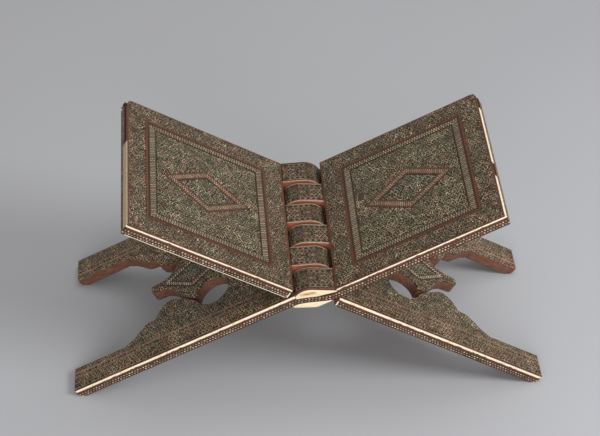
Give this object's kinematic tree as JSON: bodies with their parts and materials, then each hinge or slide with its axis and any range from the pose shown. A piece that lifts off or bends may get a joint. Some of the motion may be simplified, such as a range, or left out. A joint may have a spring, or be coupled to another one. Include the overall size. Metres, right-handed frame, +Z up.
{
  "type": "quran stand",
  "caption": "Folding wooden book stand: two knuckle-hinged boards open into an X, with mosaic-veneered leaves, pierced cusped legs and pale edge stringing.",
  "frame": {"origin": "on the floor, midway between the four feet, straight below the middle of the hinge", "axes": "+X towards the leaf of the right board, +Y along the hinge towards the back, +Z up"},
  "size_m": [0.3808, 0.16, 0.1788],
  "materials": {
    "wood": "satin, red-brown stained hardwood",
    "mosaic": "satin, varnished wood, bone and brass micro-mosaic",
    "fillet": "satin, cross-banded pale and red fillets",
    "stringing": "polished bone or ivory"
  },
  "bodies": {
    "left_board": {"left_core": "wood", "left_edge_strip_outer": "mosaic", "left_knuckle_1_lower": "mosaic", "left_knuckle_1_upper": "mosaic", "left_knuckle_2_lower": "mosaic", "left_knuckle_2_upper": "mosaic", "left_knuckle_3_lower": "mosaic", "left_knuckle_3_upper": "mosaic", "left_leaf_border": "mosaic", "left_leaf_diamond": "mosaic", "left_leaf_diamond_band": "fillet", "left_leaf_edge_end": "mosaic", "left_leaf_edge_inner": "mosaic", "left_leaf_field": "mosaic", "left_leaf_frame": "fillet", "left_leaf_stringing_end": "stringing", "left_leaf_stringing_inner": "stringing", "left_leaf_stringing_outer": "stringing", "left_leaf_underside": "mosaic", "left_leg_arch": "mosaic", "left_leg_band_inner": "mosaic", "left_leg_band_outer": "mosaic", "left_leg_edge_inner": "mosaic", "left_leg_stringing_inner": "stringing", "left_leg_stringing_outer": "stringing", "left_lens_lower": "stringing", "left_lens_upper": "stringing", "left_pendant_band": "fillet", "left_pendant_diamond": "mosaic"},
    "right_board": {"right_core": "wood", "right_edge_strip_outer": "mosaic", "right_knuckle_1_lower": "mosaic", "right_knuckle_1_upper": "mosaic", "right_knuckle_2_lower": "mosaic", "right_knuckle_2_upper": "mosaic", "right_knuckle_3_lower": "mosaic", "right_knuckle_3_upper": "mosaic", "right_leaf_border": "mosaic", "right_leaf_diamond": "mosaic", "right_leaf_diamond_band": "fillet", "right_leaf_edge_end": "mosaic", "right_leaf_edge_inner": "mosaic", "right_leaf_field": "mosaic", "right_leaf_frame": "fillet", "right_leaf_stringing_end": "stringing", "right_leaf_stringing_inner": "stringing", "right_leaf_stringing_outer": "stringing", "right_leaf_underside": "mosaic", "right_leg_arch": "mosaic", "right_leg_band_inner": "mosaic", "right_leg_band_outer": "mosaic", "right_leg_edge_inner": "mosaic", "right_leg_stringing_inner": "stringing", "right_leg_stringing_outer": "stringing", "right_lens_lower": "stringing", "right_lens_upper": "stringing", "right_pendant_band": "fillet", "right_pendant_diamond": "mosaic"}
  },
  "joints": [
    {"name": "fold", "type": "hinge", "parent": "left_board", "child": "right_board", "pos_m": [0, 0, 0.09983], "axis": [0, -1, 0], "range_deg": [0, 122.2]}
  ]
}
